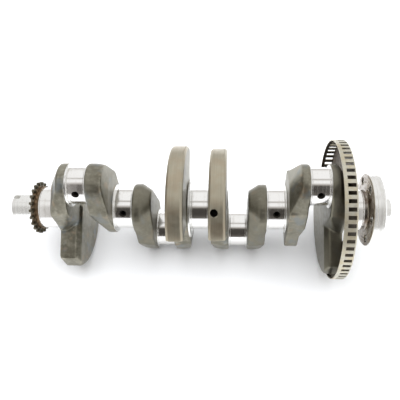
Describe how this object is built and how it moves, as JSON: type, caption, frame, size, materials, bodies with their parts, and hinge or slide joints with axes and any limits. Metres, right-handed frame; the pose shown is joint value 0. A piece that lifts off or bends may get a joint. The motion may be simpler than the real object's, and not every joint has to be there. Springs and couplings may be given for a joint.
{
  "type": "crankshaft",
  "caption": "Inline engine crankshaft with offset crankpins, counterweights, chain sprocket, slotted trigger wheel and flywheel flange.",
  "frame": {"origin": "centre of the third main journal, on the axis of rotation", "axes": "+X along the shaft towards the flywheel flange, +Z towards crankpins 1 and 4"},
  "size_m": [0.443, 0.162, 0.162],
  "materials": {
    "forged_steel": "shot-blasted forging, warm grey",
    "ground_steel": "ground and polished",
    "sprocket_steel": "hardened, brown oxide",
    "zinc_sheet": "pale yellow zinc plate"
  },
  "bodies": {
    "root": {"crank_nose": "ground_steel", "main_journal_1": "ground_steel", "main_journal_2": "ground_steel", "main_journal_3": "ground_steel", "main_journal_4": "ground_steel", "main_journal_5": "ground_steel", "crankpin_1": "ground_steel", "crankpin_2": "ground_steel", "crankpin_3": "ground_steel", "crankpin_4": "ground_steel", "web_1": "forged_steel", "web_2": "forged_steel", "web_3": "forged_steel", "web_4": "forged_steel", "web_5": "forged_steel", "web_6": "forged_steel", "web_7": "forged_steel", "web_8": "forged_steel", "flywheel_flange": "ground_steel", "chain_sprocket": "sprocket_steel", "sprocket_key": "ground_steel", "trigger_wheel": "zinc_sheet", "trigger_wheel_screws": "zinc_sheet", "flywheel_dowel": "ground_steel"}
  },
  "joints": []
}
